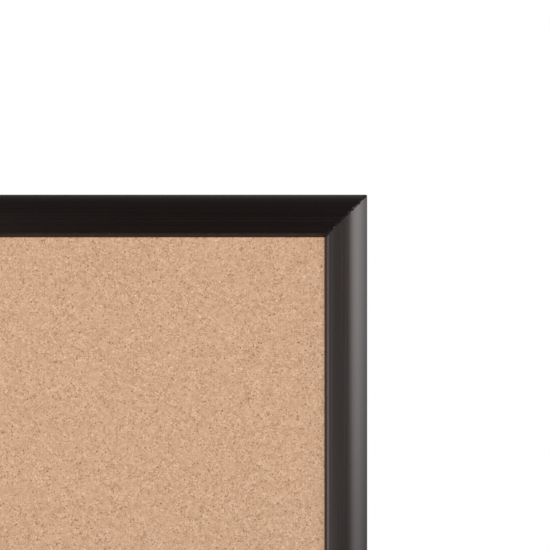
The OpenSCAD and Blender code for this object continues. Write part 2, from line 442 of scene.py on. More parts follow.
def cork_granules():
    """Pressed cork: how light it is, from 0 to 1, and how high, at a place in metres."""
    group, g, given, out = shader_group(
        "cork_granules", {"Place": (0.0, 0.0, 0.0), "Granule": 0.0026},
        ("Tone", "Specks", "Height"))
    if g is None:
        return group
    place, size = given["Place"], given["Granule"]
    bent = g.pushed(place, place, 420.0, 0.0010)
    pick = g.parts(g.cells(bent, size).outputs["Color"])
    joints = g.cells(bent, size, "DISTANCE_TO_EDGE").outputs[0]
    mottle = g.noise(place, 0.008, 1.0)
    middle = g.noise(place, 0.0042, 1.0)
    fine = g.noise(place, 0.0016, 2.0, 0.6)
    crisp = g.noise(g.vector("ADD", place, (0.7, 0.2, 0.4)), 0.0009, 1.0)
    # some patches of the sheet are busier than others
    busy = g.between(g.noise(g.vector("ADD", place, (0.3, 0.9, 0.1)), 0.009, 1.0), 0.38, 0.62,
                     0.55, 1.2)
    seam = g.between(joints, 0.0, 0.07, 1.0, 0.0)
    ragged = g.pushed(bent, place, 1500.0, 0.0009)
    flecks = g.cells(ragged, 0.0024)
    light = g.times(g.between(flecks.outputs["Distance"], 0.14, 0.30, 1.0, 0.0),
                    g.between(g.parts(flecks.outputs["Color"])[0], 0.76, 0.82))
    tone = g.total(
        0.5, g.swing(mottle, 0.05), g.swing(middle, 0.10),
        g.times(g.swing(fine, 0.54), busy), g.times(g.swing(crisp, 0.74), busy),
        g.swing(pick[0], 0.09))
    tone = g.add(g.subtract(tone, g.times(seam, 0.08)), g.times(light, 0.34))
    # two sizes of bark speck: their spacing, how rare, how small, and a shift apart
    specks = []
    for spacing, rare, small, shift in ((0.0030, 0.48, 0.12, 0.31), (0.0020, 0.60, 0.14, 0.77)):
        bark = g.cells(g.vector("ADD", ragged, (shift, 0.17, 0.53)), spacing)
        chance = g.parts(bark.outputs["Color"])
        width = g.add(small, g.times(chance[1], 0.13))
        dot = g.times(g.between(g.subtract(bark.outputs["Distance"], width), 0.0, 0.10, 1.0, 0.0),
                      g.between(chance[0], rare, rare + 0.08))
        specks.append(g.times(dot, g.between(chance[2], 0.0, 1.0, 0.5, 1.0)))
    specks = g.greatest(specks)
    high = g.subtract(g.add(g.times(fine, 0.5), g.times(pick[1], 0.3)), g.times(seam, 0.35))
    g.fill(out, {"Tone": tone, "Specks": specks,
                 "Height": g.subtract(high, g.times(specks, 0.4))})
    return group


def pressed_fibres():
    """Fibres that lie at random in paper or board: a fibre mask, flecks, cloud and height."""
    group, g, given, out = shader_group(
        "pressed_fibres", {"Place": (0.0, 0.0, 0.0), "Fibre": 0.004},
        ("Fibres", "Flecks", "Cloud", "Height"))
    if g is None:
        return group
    place = given["Place"]
    scaled = g.vector("SCALE", place, g.per(given["Fibre"]))
    strands = []
    for turn in (0.3, 1.25, 2.1, 2.8):
        lie = g.vector("MULTIPLY", rotated(g, scaled, (0.0, 1.0, 0.0), turn), (1.0, 3.0, 9.0))
        strand = g.noise(g.vector("ADD", lie, (turn * 7, turn, 0.0)), 1.0, 1.0)
        strands.append(g.between(strand, 0.52, 0.70))
    fibres = g.greatest(strands)
    dots = g.cells(scaled, 0.9)
    chance = g.parts(dots.outputs["Color"])[0]
    g.fill(out, {
        "Fibres": fibres,
        "Flecks": g.times(g.between(dots.outputs["Distance"], 0.10, 0.22, 1.0, 0.0),
                          g.between(chance, 0.86, 0.92)),
        "Cloud": g.noise(place, 0.05, 3.0),
        "Height": g.add(fibres, g.noise(scaled, 0.2, 2.0))})
    return group


def handled_metal():
    """Fine scratches, dulled patches and the height of both, at a place in metres."""
    group, g, given, out = shader_group(
        "handled_metal", {"Place": (0.0, 0.0, 0.0), "Patch": 0.004},
        ("Scratches", "Dull", "Height"))
    if g is None:
        return group
    place = given["Place"]
    lines = []
    for turn in (0.2, 1.0, 2.3):
        lie = g.vector("MULTIPLY", rotated(g, place, (0.1, 1.0, 0.2), turn),
                       (160.0, 900.0, 4200.0))
        lines.append(g.between(g.noise(lie, 1.0, 1.0), 0.62, 0.72))
    scratches = g.greatest(lines)
    grit = g.noise(place, 0.0003, 2.0)
    g.fill(out, {
        "Scratches": scratches,
        "Dull": g.between(g.noise(place, given["Patch"], 4.0), 0.40, 0.66),
        "Height": g.subtract(g.times(grit, 0.4), g.times(scratches, 0.5))})
    return group


# ---------------------------------------------------------------- finishes

def open_joint(g, place):
    """A mask of the open mitre: it runs along the joint and is ragged where edges chipped."""
    x, _, z = g.parts(place)
    past = g.subtract(g.subtract(HALF_W, g.math("ABSOLUTE", x)),
                      g.subtract(HALF_H, g.math("ABSOLUTE", z)))
    past = g.add(past, g.swing(g.noise(place, 0.0013, 3.0, 0.7), 0.0022))
    chips = g.noise(place, 0.0034, 2.0, 0.6)
    width = g.between(chips, 0.44, 0.58, 0.0003, 0.0019, smooth=False)
    return g.between(g.math("DIVIDE", g.math("ABSOLUTE", past), width), 0.6, 1.0, 1.0, 0.0)


def stained_moulding(s):
    """Ebony stain under a satin coat on the face, bare wood with overspray on the back."""
    made, g, shader = material("ebony_stained_wood")
    place = object_place(g)
    wood = g.call(wood_grain(), {
        "Grain": attribute(g, "grain"), "Streak": 0.0011, "Reach": 0.6})
    streaks, pores = wood["Streaks"], wood["Pores"]
    # 1 where the stain reached, 0 on the bare back, with a speckled edge between
    spray = g.add(attribute(g, "stain", "Fac"), g.swing(g.noise(place, 0.009, 5.0, 0.7), 0.7))
    spray = g.between(spray, 0.30, 0.62)
    worn = g.times(attribute(g, "wear", "Fac"),
                   g.between(g.noise(place, 0.012, 4.0, 0.7), 0.46, 0.70))
    # painted shade: the sight wall is coloured dark brown to stand in for its shadow and for the
    # cork's brown reflected in it
    thin = g.times(attribute(g, "thin", "Fac"), g.between(streaks, 0.1, 0.9, 0.7, 1.0))
    joint = open_joint(g, place)

    stain = g.mix(g.between(streaks, 0.35, 0.75, 0.0, 0.35), s.stain, shade(s.stain, 1.7))
    stain = g.mix(g.times(pores, 0.35), stain, shade(s.stain, 0.45))
    stain = g.mix(g.times(worn, 0.5), stain, s.stain_worn)
    stain = g.mix(thin, stain, s.painted_wall_shade)
    stain = g.mix(g.times(joint, 0.9), stain, JOINT_DARK)
    bare = g.mix(g.times(wood["Rings"], 0.7), s.bare, s.bare_dark)
    bare = g.mix(g.times(pores, 0.5), bare, shade(s.bare_dark, 0.55))
    bare = g.mix(g.times(wood["Drift"], 0.25), bare, shade(s.bare, 0.8))

    satin = g.total(s.roughness, g.swing(streaks, 0.12), g.swing(wood["Drift"], 0.06),
                    g.times(worn, 0.05), g.times(joint, 0.5))
    raised = g.times(g.subtract(streaks, g.times(pores, 0.5)), g.between(spray, 0, 1, 1.0, 0.8))
    fuzz = g.times(g.noise(place, 0.0007, 2.0), g.between(spray, 0, 1, 0.8, 0.06))
    # the coat was wiped on along the grain, so it scatters light across it
    across = g.vector("CROSS_PRODUCT", g.node("ShaderNodeNewGeometry").outputs["Normal"],
                      attribute(g, "run"))
    g.fill(shader, {
        "Base Color": g.mix(spray, bare, stain),
        "Roughness": g.between(spray, 0.0, 1.0, 0.78, satin, smooth=False),
        "Normal": g.bump(g.add(raised, fuzz), 0.000015),
        "Tangent": across, "Anisotropic": 0.8, "Specular IOR Level": 0.5,
        "Specular Tint": (1.0, 0.955, 0.95, 1.0)})
    return made


def cork(s):
    """Fine-grained pressed cork, sanded flat and matt."""
    made, g, shader = material("pressed_cork")
    grains = g.call(cork_granules(), {"Place": object_place(g), "Granule": s.granule})
    tint = g.ramp(grains["Tone"], (
        (0.0, shade(s.low, 0.5)), (0.30, s.low), (0.5, s.body), (0.72, s.high),
        (1.0, shade(s.high, 1.15))))
    g.fill(shader, {
        "Base Color": g.mix(g.times(grains["Specks"], 0.68), tint, s.dark),
        "Roughness": g.between(grains["Tone"], 0.2, 0.8, 0.92, 0.80),
        "Normal": g.bump(grains["Height"], 0.00012, 0.6), "Specular IOR Level": 0.25})
    return made


def fibre_finish(name, body, dark, fibre, depth, flecks):
    """Board or paper. flecks is how much its dark flecks show."""
    made, g, shader = material(name)
    mat = g.call(pressed_fibres(), {"Place": object_place(g), "Fibre": fibre})
    tint = g.mix(g.times(mat["Fibres"], 0.35), body, dark)
    tint = g.mix(g.times(mat["Flecks"], flecks), tint, shade(dark, 0.5))
    tint = g.mix(g.times(g.between(mat["Cloud"], 0.35, 0.7), 0.3), tint, shade(body, 1.25))
    g.fill(shader, {
        "Base Color": tint, "Roughness": g.between(mat["Fibres"], 0, 1, 0.86, 0.72),
        "Normal": g.bump(mat["Height"], depth, 0.5), "Specular IOR Level": 0.3})
    return made


def metal_finish(name, bright, dull, smooth, patch):
    """Handled metal. smooth is its roughness where it is bright."""
    made, g, shader = material(name)
    marks = g.call(handled_metal(), {"Place": object_place(g), "Patch": patch})
    tint = g.mix(g.times(marks["Dull"], 0.8), bright, dull)
    tint = g.mix(g.times(marks["Scratches"], 0.12), tint, shade(bright, 1.3))
    g.fill(shader, {
        "Base Color": tint,
        "Roughness": g.total(smooth, g.times(marks["Dull"], 0.20),
                             g.times(marks["Scratches"], 0.06)),
        "Normal": g.bump(marks["Height"], 0.000006, 0.5), "Metallic": 1.0})
    return made


def rubber(s):
    made, g, shader = material("bumper_rubber")
    place = object_place(g)
    dust = g.between(g.noise(place, 0.004, 4.0, 0.7), 0.45, 0.75)
    g.fill(shader, {
        "Base Color": g.mix(g.times(dust, 0.5), s.rubber, s.dust),
        "Roughness": g.between(dust, 0, 1, 0.62, 0.9),
        "Normal": g.bump(g.noise(place, 0.0004, 3.0), 0.00004, 0.5),
        "Specular IOR Level": 0.4})
    return made


# ---------------------------------------------------------------- geometry trees

def shape_tree(name, inputs):
    """An empty geometry tree that takes and gives a mesh and has a Material input."""
    given = {"Geometry": "NodeSocketGeometry", **inputs, "Material": "NodeSocketMaterial"}
    return new_group(name, "GeometryNodeTree", given, {"Geometry": "NodeSocketGeometry"})


def end_tree(graph, given, out, shape):
    """Every tree's end: instances made real, and the material set."""
    real = graph.node("GeometryNodeRealizeInstances", {"Geometry": shape}).outputs[0]
    painted = graph.node("GeometryNodeSetMaterial", {
        "Geometry": real, "Material": given["Material"]}).outputs[0]
    graph.feed(out.inputs[0], painted)


def named(graph, name, kind="FLOAT"):
    made = graph.node("GeometryNodeInputNamedAttribute", {"Name": name}, data_type=kind)
    return made.outputs["Attribute"]


def store(graph, shape, name, kind, value):
    made = graph.node("GeometryNodeStoreNamedAttribute", {"Geometry": shape, "Name": name},
                      data_type=kind, domain="POINT")
    graph.feed(made.inputs["Value"], value)
    return made.outputs[0]


def moulding_tree():
    """Sweeps a section along one side and cuts both ends to 45 degrees.

    The section is a closed loop of points at (u, v) that carries girth, stain, wear, a mask
    of the sight wall's painted shade, and outward. The rings crowd together at the ends, where the
    edges are eased and chipped.
    """
    group, g, given, out = shape_tree("mitred_length", {
        "Length": 1.0, "Reach": 0.3, "Back": 0.005, "Turn": 0.0, "Rings": 100,
        "Chip Width": 0.0005, "Chip Depth": 0.0004, "Corner": 0.0004, "Relief": 0.00002,
        "Seed": 0.0})
    place = g.node("GeometryNodeInputPosition").outputs[0]
    section = g.node("GeometryNodeMeshToCurve", {"Mesh": given["Geometry"]}).outputs[0]
    section = store(g, section, "section", "FLOAT_VECTOR", place)
    line = g.node("GeometryNodeMeshLine", {
        "Count": given["Rings"], "Start Location": (0.0, 0.0, 0.0), "Offset": (1.0, 0.0, 0.0)},
        mode="END_POINTS").outputs[0]
    line = g.node("GeometryNodeMeshToCurve", {"Mesh": line}).outputs[0]
    part = g.parts(place)[0]
    turn = g.math("SINE", g.times(g.subtract(part, 0.5), math.pi))
    line = store(g, line, "spot", "FLOAT", turn)
    swept = g.node("GeometryNodeCurveToMesh", {
        "Curve": line, "Profile Curve": section, "Fill Caps": True}).outputs[0]

    u, v, _ = g.parts(named(g, "section", "FLOAT_VECTOR"))
    spot = named(g, "spot")
    half = g.subtract(g.times(given["Length"], 0.5), u)
    run = g.times(spot, half)
    to_end = g.times(half, g.subtract(1.0, g.math("ABSOLUTE", spot)))
    end = g.add(g.times(g.math("SIGN", spot), 5.0), given["Seed"])
    ragged = g.noise(g.xyz(g.times(u, 430.0), g.times(v, 430.0), end), 1.0, 3.0, 0.6)
    wide = g.times(given["Chip Width"], g.between(ragged, 0.36, 0.64, 0.15, 1.3, smooth=False))
    eased = g.math("SUBTRACT", 1.0, g.math("DIVIDE", to_end, wide), clamp=True)
    stain = named(g, "stain")
    # chips don't sink into the sight wall, the part that carries the painted shade
    sink = g.times(g.times(given["Chip Depth"], eased), g.subtract(stain, named(g, "thin")))
    # the outer corner is rubbed back most at its very tip
    rubbed = g.math("POWER", g.between(to_end, 0.0, 2.0 * MM, 1.0, 0.0, smooth=False), 2.0)
    rubbed = g.times(rubbed, g.between(u, 0.2 * MM, 3.0 * MM, 1.0, 0.0))
    sink = g.add(sink, g.times(given["Corner"], rubbed))
    girth = named(g, "girth")
    grain = g.xyz(run, girth, given["Seed"])
    ripple = g.noise(g.xyz(g.times(run, 5.0), g.times(girth, 900.0), given["Seed"]), 1.0, 2.0)
    sink = g.add(sink, g.times(g.times(given["Relief"], ripple), stain))
    sunk = g.vector("SCALE", named(g, "outward", "FLOAT_VECTOR"), sink)
    su, sv, _ = g.parts(sunk)
    spot_xyz = g.xyz(run, g.subtract(g.subtract(sv, v), given["Back"]),
                     g.add(g.subtract(given["Reach"], u), su))
    turned = g.node("ShaderNodeVectorRotate", {
        "Vector": spot_xyz, "Angle": given["Turn"]}, rotation_type="Y_AXIS").outputs[0]
    placed = g.node("GeometryNodeSetPosition", {
        "Geometry": swept, "Position": turned}).outputs[0]
    placed = store(g, placed, "grain", "FLOAT_VECTOR", grain)
    way = g.node("ShaderNodeVectorRotate", {
        "Vector": (1.0, 0.0, 0.0), "Angle": given["Turn"]}, rotation_type="Y_AXIS").outputs[0]
    placed = store(g, placed, "run", "FLOAT_VECTOR", way)
    end_tree(g, given, out, placed)
    return group


def row_tree():
    """Sets a template at equal steps from Start to End, each turned about Y and a little askew."""
    group, g, given, out = shape_tree("row_of_fixings", {
        "Template": "NodeSocketObject", "Count": 2, "Start": (0.0, 0.0, 0.0),
        "End": (0.0, 0.0, 0.0), "Turn": 0.0, "Askew": 0.0, "Slip": 0.0, "Seed": 0})
    step = g.math("DIVIDE", 1.0, g.math("MAXIMUM", g.subtract(given["Count"], 1), 1))
    line = g.node("GeometryNodeMeshLine", {
        "Count": given["Count"], "Start Location": (0.0, 0.0, 0.0)}, mode="OFFSET").outputs[0]
    share_of = g.times(g.node("GeometryNodeInputIndex").outputs[0], step)
    way = g.vector("SUBTRACT", given["End"], given["Start"])
    spot = g.vector("ADD", given["Start"], g.vector("SCALE", way, share_of))
    slip = g.node("FunctionNodeRandomValue", {"Seed": given["Seed"]}, data_type="FLOAT")
    g.feed(slip.inputs[2], g.times(given["Slip"], -1.0))
    g.feed(slip.inputs[3], given["Slip"])
    along = g.vector("SCALE", g.vector("NORMALIZE", way), slip.outputs[1])
    line = g.node("GeometryNodeSetPosition", {
        "Geometry": line, "Position": g.vector("ADD", spot, along)}).outputs[0]
    askew = g.node("FunctionNodeRandomValue", {"Seed": g.add(given["Seed"], 7)},
                   data_type="FLOAT")
    g.feed(askew.inputs[2], g.times(given["Askew"], -1.0))
    g.feed(askew.inputs[3], given["Askew"])
    template = g.node("GeometryNodeObjectInfo", {"Object": given["Template"]})
    stood = g.node("GeometryNodeInstanceOnPoints", {
        "Points": line, "Instance": template.outputs["Geometry"],
        "Rotation": g.xyz(0.0, g.add(given["Turn"], askew.outputs[1]), 0.0)}).outputs[0]
    end_tree(g, given, out, stood)
    return group


def wire_tree():
    """Sweeps a round wire along a closed path of edges."""
    group, g, given, out = shape_tree("bent_wire", {"Radius": 0.001, "Sides": 28})
    path = g.node("GeometryNodeMeshToCurve", {"Mesh": given["Geometry"]}).outputs[0]
    circle = g.node("GeometryNodeCurvePrimitiveCircle", {
        "Resolution": given["Sides"], "Radius": given["Radius"]}, mode="RADIUS").outputs[0]
    swept = g.node("GeometryNodeCurveToMesh", {
        "Curve": path, "Profile Curve": circle}).outputs[0]
    end_tree(g, given, out, swept)
    return group


def sheet_tree():
    """Presses pits and slow waves into one face of a closed sheet, and frays its edge.

    face is 1 on the points that may sink, rim is 1 on the points of the edge, and edge_in
    points from the edge into the sheet.
    """
    group, g, given, out = shape_tree("pressed_sheet", {
        "Depth": 0.0001, "Pit": 0.003, "Wave": 0.03, "Waviness": 0.4, "Fray": 0.0003,
        "Inwards": 1.0})
    place = g.node("GeometryNodeInputPosition").outputs[0]
    pit = g.between(g.noise(place, given["Pit"]), 0.35, 0.72)
    wave = g.between(g.noise(place, given["Wave"]), 0.3, 0.75)
    sink = g.add(g.times(pit, g.subtract(1.0, given["Waviness"])),
                 g.times(wave, given["Waviness"]))
    sink = g.times(g.times(g.times(sink, given["Depth"]), named(g, "face")), given["Inwards"])
    frayed = g.node("ShaderNodeTexNoise", {"Vector": place, "Scale": 220.0, "Detail": 3.0})
    pull = g.vector("SCALE", named(g, "edge_in", "FLOAT_VECTOR"), g.times(
        g.times(g.between(frayed.outputs[0], 0.35, 0.7), given["Fray"]), named(g, "rim")))
    moved = g.node("GeometryNodeSetPosition", {
        "Geometry": given["Geometry"],
        "Offset": g.vector("ADD", g.xyz(0.0, sink, 0.0), pull)}).outputs[0]
    end_tree(g, given, out, moved)
    return group


# ---------------------------------------------------------------- mesh helpers

def new_object(name, mesh):
    made = bpy.data.objects.new(name, mesh)
    bpy.context.scene.collection.objects.link(made)
    return made


def mesh_from(name, points, faces=(), edges=()):
    mesh = bpy.data.meshes.new(name)
    mesh.from_pydata([tuple(p) for p in points], edges, faces)
    mesh.update()
    return mesh


def add_attribute(mesh, name, kind, values):
    made = mesh.attributes.new(name, kind, "POINT")
    field = "vector" if kind == "FLOAT_VECTOR" else "value"
    made.data.foreach_set(field, np.asarray(values, np.float32).ravel())


def plain_mesh(obj):
    """Replaces obj's mesh by its evaluated one and removes its modifiers."""
    bpy.context.view_layer.update()
    seen = obj.evaluated_get(bpy.context.evaluated_depsgraph_get())
    mesh = bpy.data.meshes.new_from_object(seen)
    mesh.name = obj.name
    old = obj.data
    obj.modifiers.clear()
    obj.data = mesh
    if old.users == 0:
        bpy.data.meshes.remove(old)
    if not mesh.polygons:
        raise RuntimeError(f"{obj.name} came out empty")
    return obj


def run_tree(name, tree, mesh, inputs):
    """A new object whose plain mesh is what the tree makes of mesh."""
    obj = new_object(name, mesh)
    modifier = obj.modifiers.new("shape", "NODES")
    modifier.node_group = tree
    names = {i.name: i.identifier for i in tree.interface.items_tree
             if i.item_type == "SOCKET" and i.in_out == "INPUT"}
    for label, value in inputs.items():
        modifier[names[label]] = value
    return plain_mesh(obj)


def tidy(obj, sharp=35.0, merge=None):
    """Joins doubles if asked, points faces outwards and shades smooth but for corners."""
    bm = bmesh.new()
    bm.from_mesh(obj.data)
    if merge:
        bmesh.ops.remove_doubles(bm, verts=bm.verts, dist=merge)
    bmesh.ops.recalc_face_normals(bm, faces=bm.faces)
    bm.to_mesh(obj.data)
    bm.free()
    obj.data.shade_smooth()
    obj.data.set_sharp_from_angle(angle=math.radians(sharp))
    return obj


def finished(obj, body, node, paint=None):
    """Puts a finished piece on its body, in its node's place."""
    if paint is not None:
        obj.data.materials.clear()
        obj.data.materials.append(paint)
    for name in ("section", "spot", "outward", "face", "rim", "edge_in", "girth"):
        spare = obj.data.attributes.get(name)
        if spare is not None:
            obj.data.attributes.remove(spare)
    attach(obj, body)
    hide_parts(node)
    return obj


def bevelled(obj, width, segments=2, angle=35.0):
    modifier = obj.modifiers.new("ease", "BEVEL")
    modifier.width = width
    modifier.segments = segments
    modifier.limit_method = "ANGLE"
    modifier.angle_limit = math.radians(angle)
    modifier.harden_normals = False
    return plain_mesh(obj)


def cut(obj, tool, operation="DIFFERENCE"):
    modifier = obj.modifiers.new("cut", "BOOLEAN")
    modifier.operation = operation
    modifier.solver = "EXACT"
    modifier.object = tool
    plain_mesh(obj)
    drop(tool)
    return obj


def drop(obj):
    mesh = obj.data
    bpy.data.objects.remove(obj)
    bpy.data.meshes.remove(mesh)


def absorb(obj, other):
    """Adds other's mesh to obj's and drops other."""
    both = bmesh.new()
    both.from_mesh(obj.data)
    both.from_mesh(other.data)
    both.to_mesh(obj.data)
    both.free()
    drop(other)


def closed(count):
    """The edges of a closed line of points."""
    return [(i, (i + 1) % count) for i in range(count)]


def prism(name, outline, low, high, axis="Y"):
    """A closed prism on an outline of (x, z), from y = low to y = high, or of (y, z) along X."""
    n = len(outline)
    if axis == "Y":
        points = [(a, low, b) for a, b in outline] + [(a, high, b) for a, b in outline]
    else:
        points = [(low, a, b) for a, b in outline] + [(high, a, b) for a, b in outline]
    faces = [tuple(range(n)), tuple(range(2 * n - 1, n - 1, -1))]
    faces += [(i, n + i, n + (i + 1) % n, (i + 1) % n) for i in range(n)]
    obj = new_object(name, mesh_from(name, points, faces))
    return tidy(obj)


def lathe(name, profile, sides, centre):
    """Turns a profile of (radius, y) about the Y axis at centre. Both ends are on the axis."""
    points, faces = [(centre[0], centre[1] + profile[0][1], centre[2])], []
    for r, y in profile[1:-1]:
        for k in range(sides):
            a = 2 * math.pi * k / sides
            points.append((centre[0] + r * math.cos(a), centre[1] + y,
                           centre[2] + r * math.sin(a)))
    points.append((centre[0], centre[1] + profile[-1][1], centre[2]))
    last = len(points) - 1
    rings = len(profile) - 2
    for k in range(sides):
        n = (k + 1) % sides
        faces.append((0, 1 + n, 1 + k))
        for j in range(rings - 1):
            a, b = 1 + j * sides, 1 + (j + 1) * sides
            faces.append((a + k, a + n, b + n, b + k))
        faces.append((last, 1 + (rings - 1) * sides + k, 1 + (rings - 1) * sides + n))
    return tidy(new_object(name, mesh_from(name, points, faces)))


def arc(centre, radius, start, stop, steps):
    """Points on an arc, its angles in degrees."""
    return [(centre[0] + radius * math.cos(math.radians(start + (stop - start) * i / steps)),
             centre[1] + radius * math.sin(math.radians(start + (stop - start) * i / steps)))
            for i in range(steps + 1)]


def straight(start, stop, steps):
    """Points from start to stop, without the last."""
    return [(start[0] + (stop[0] - start[0]) * i / steps,
             start[1] + (stop[1] - start[1]) * i / steps) for i in range(steps)]


# ---------------------------------------------------------------- moulding

def moulding_section(s):
    """The section's loop of (u, v), with how stained and worn each point is, and how much of the
    sight wall's painted shade it takes.
    """
    wide, deep = STILE_HI.x - STILE_LO.x, BACK_Y - FRONT_Y
    outer = (s.ridge, deep - s.outer_radius)
    inner = (s.ridge, deep - s.inner_radius)
    foot = (wide, s.rabbet)
    back_u = wide - s.lip
    # the arris touches the outer side and the outer arc
    rise = math.sqrt((s.outer_radius - s.arris) ** 2 - (s.ridge - s.arris) ** 2)
    arris = (s.arris, outer[1] + rise)
    arris_turn = math.degrees(math.atan2(rise, s.arris - s.ridge))
    # the sight edge touches the inner arc and the leaning wall
    lean = math.degrees(s.sight_lean)
    out = (math.cos(s.sight_lean), math.sin(s.sight_lean))
    up = (-out[1], out[0])
    start = (foot[0] - s.sight_radius * out[0] - inner[0],
             foot[1] - s.sight_radius * out[1] - inner[1])
    along = start[0] * up[0] + start[1] * up[1]
    climb = math.sqrt(along ** 2 - start[0] ** 2 - start[1] ** 2
                      + (s.inner_radius - s.sight_radius) ** 2) - along
    sight = (inner[0] + start[0] + climb * up[0], inner[1] + start[1] + climb * up[1])
    sight_turn = math.degrees(math.atan2(sight[1] - inner[1], sight[0] - inner[0]))
    ease = 0.35 * MM

    rows = []

    def add(points, stain, wear, thin=0.0):
        rows.extend((u, v, stain, wear, thin) for u, v in points)

    add(arc((ease, ease), ease, 270, 180, 4), 0.55, 0.5)
    add(straight((0, 1.2 * MM), (0, arris[1]), 9), 1.0, 0.0)
    add(arc(arris, s.arris, 180, arris_turn, 8), 1.0, 0.45)
    add(arc(outer, s.outer_radius, arris_turn, 90, 34)[1:], 1.0, 0.0)
    add(arc(inner, s.inner_radius, 90, sight_turn, 22)[1:], 1.0, 0.0)
    roll = arc(sight, s.sight_radius, sight_turn, lean, 16)[1:]
    add(roll[:14], 1.0, 0.5)
    # the last number is how much painted shade, dark brown for the wall's shadow and the cork's
    # reflection, a point takes
    add(roll[14:], 1.0, 0.5, 0.5)
    add(straight(rows[-1][:2], foot, 5)[1:], 1.0, 0.0, 1.0)
    add([foot], 0.9, 0.0, 1.0)
    add(straight(foot, (back_u, s.rabbet), 4)[1:], 0.35, 0.0)
    add(straight((back_u, s.rabbet), (back_u, 0), 7), 0.15, 0.0)
    add([(back_u, 0)], 0.1, 0.0)
    back = straight((back_u, 0), (ease, 0), 14)[1:]
    add(back[:6], 0.06, 0.0)
    add(back[6:10], 0.14, 0.0)
    add(back[10:], 0.30, 0.0)
    return rows


def section_mesh(rows):
    points = np.array([(row[0], row[1], 0.0) for row in rows])
    n = len(rows)
    step = np.roll(points, -1, 0) - points
    step /= np.linalg.norm(step, axis=1)[:, None]
    # the loop runs clockwise in (u, v), so its outside is on the left
    side = np.stack([-step[:, 1], step[:, 0], np.zeros(n)], 1)
    outward = side + np.roll(side, 1, 0)
    outward /= np.linalg.norm(outward, axis=1)[:, None]
    lengths = np.linalg.norm(np.roll(points, -1, 0) - points, axis=1)
    mesh = mesh_from("section", points, edges=closed(n))
    add_attribute(mesh, "girth", "FLOAT", np.concatenate([[0], np.cumsum(lengths)[:-1]]))
    add_attribute(mesh, "stain", "FLOAT", [r[2] for r in rows])
    add_attribute(mesh, "wear", "FLOAT", [r[3] for r in rows])
    add_attribute(mesh, "thin", "FLOAT", [r[4] for r in rows])
    add_attribute(mesh, "outward", "FLOAT_VECTOR", outward)
    return mesh


class BOARD_OT_moulding(bpy.types.Operator):
    """Make the four mitred lengths of moulding"""
    bl_idname = "board.moulding"
    bl_label = "Moulding"

    def execute(self, context):
        s = context.scene.board_moulding
        paint = stained_moulding(s)
        tree = moulding_tree()
        rows = moulding_section(s)
        for k, (side, node) in enumerate(zip(SIDES, RAIL_NODES)):
            level = k % 2 == 0
            piece = run_tree(f"moulding_{side}", tree, section_mesh(rows), {
                "Length": 2 * (HALF_W if level else HALF_H),
                "Reach": HALF_H if level else HALF_W,
                "Back": -BACK_Y, "Turn": math.radians(90 * k), "Rings": s.rings,
                "Chip Width": s.chip_width, "Chip Depth": s.chip_depth, "Corner": s.corner,
                "Relief": s.relief, "Seed": 3.7 * k + 1.3, "Material": paint})
            tidy(piece, 32.0)
            finished(piece, "board", node)
        return {"FINISHED"}


# ---------------------------------------------------------------- panel

def sheet_mesh(name, lo, hi, cell, front):
    """A closed sheet with a grid on one face and a ring of points round its edge.

    The grid's face looks to -Y if front is true, and to +Y if it isn't.
    """
    across = max(2, round((hi.x - lo.x) / cell))
    up = max(2, round((hi.z - lo.z) / cell))
    xs = np.linspace(lo.x, hi.x, across + 1)
    zs = np.linspace(lo.z, hi.z, up + 1)
    grid_y, flat_y = (lo.y, hi.y) if front else (hi.y, lo.y)
    grid = np.array([(x, grid_y, z) for z in zs for x in xs])
    wide = across + 1
    index = np.arange(wide * (up + 1)).reshape(up + 1, wide)
    faces = [(index[j, i], index[j, i + 1], index[j + 1, i + 1], index[j + 1, i])
             for j in range(up) for i in range(across)]
    rim = ([*index[0, :]] + [*index[1:, -1]] + [*index[-1, -2::-1]] + [*index[-2:0:-1, 0]])
    base = len(grid)
    n = len(rim)
    flat = grid[rim].copy()
    flat[:, 1] = flat_y
    middle = np.array([[(lo.x + hi.x) / 2, flat_y, (lo.z + hi.z) / 2]])
    points = np.concatenate([grid, flat, middle])
    faces += [(rim[i], base + i, base + (i + 1) % n, rim[(i + 1) % n]) for i in range(n)]
    faces += [(base + n, base + (i + 1) % n, base + i) for i in range(n)]
    mesh = mesh_from(name, points, [tuple(int(v) for v in f) for f in faces])
    face = np.zeros(len(points))
    face[:base] = 1
    on_rim = np.zeros(len(points))
    on_rim[rim] = 1
    on_rim[base:base + n] = 1
    inwards = np.zeros((len(points), 3))
    for rows in (points[:, 0] <= lo.x + 1e-6, points[:, 0] >= hi.x - 1e-6):
        inwards[rows, 0] = 1 if points[rows][0, 0] < 0 else -1
    for rows in (points[:, 2] <= lo.z + 1e-6, points[:, 2] >= hi.z - 1e-6):
        inwards[rows, 2] = 1 if points[rows][0, 2] < 0 else -1
    add_attribute(mesh, "face", "FLOAT", face)
    add_attribute(mesh, "rim", "FLOAT", on_rim)
    add_attribute(mesh, "edge_in", "FLOAT_VECTOR", inwards)
    return mesh


class BOARD_OT_cork(bpy.types.Operator):
    """Make the cork sheet"""
    bl_idname = "board.cork"
    bl_label = "Cork"

    def execute(self, context):
        s = context.scene.board_cork
        mesh = sheet_mesh("cork", CORK_LO, CORK_HI, s.cell, True)
        piece = run_tree("cork_face", sheet_tree(), mesh, {
            "Depth": s.relief, "Pit": 0.0042, "Wave": 0.03, "Waviness": 0.35,
            "Fray": 0.0004, "Inwards": 1.0, "Material": cork(s)})
        finished(tidy(piece, 50.0), "board", "cork_sheet")
        return {"FINISHED"}


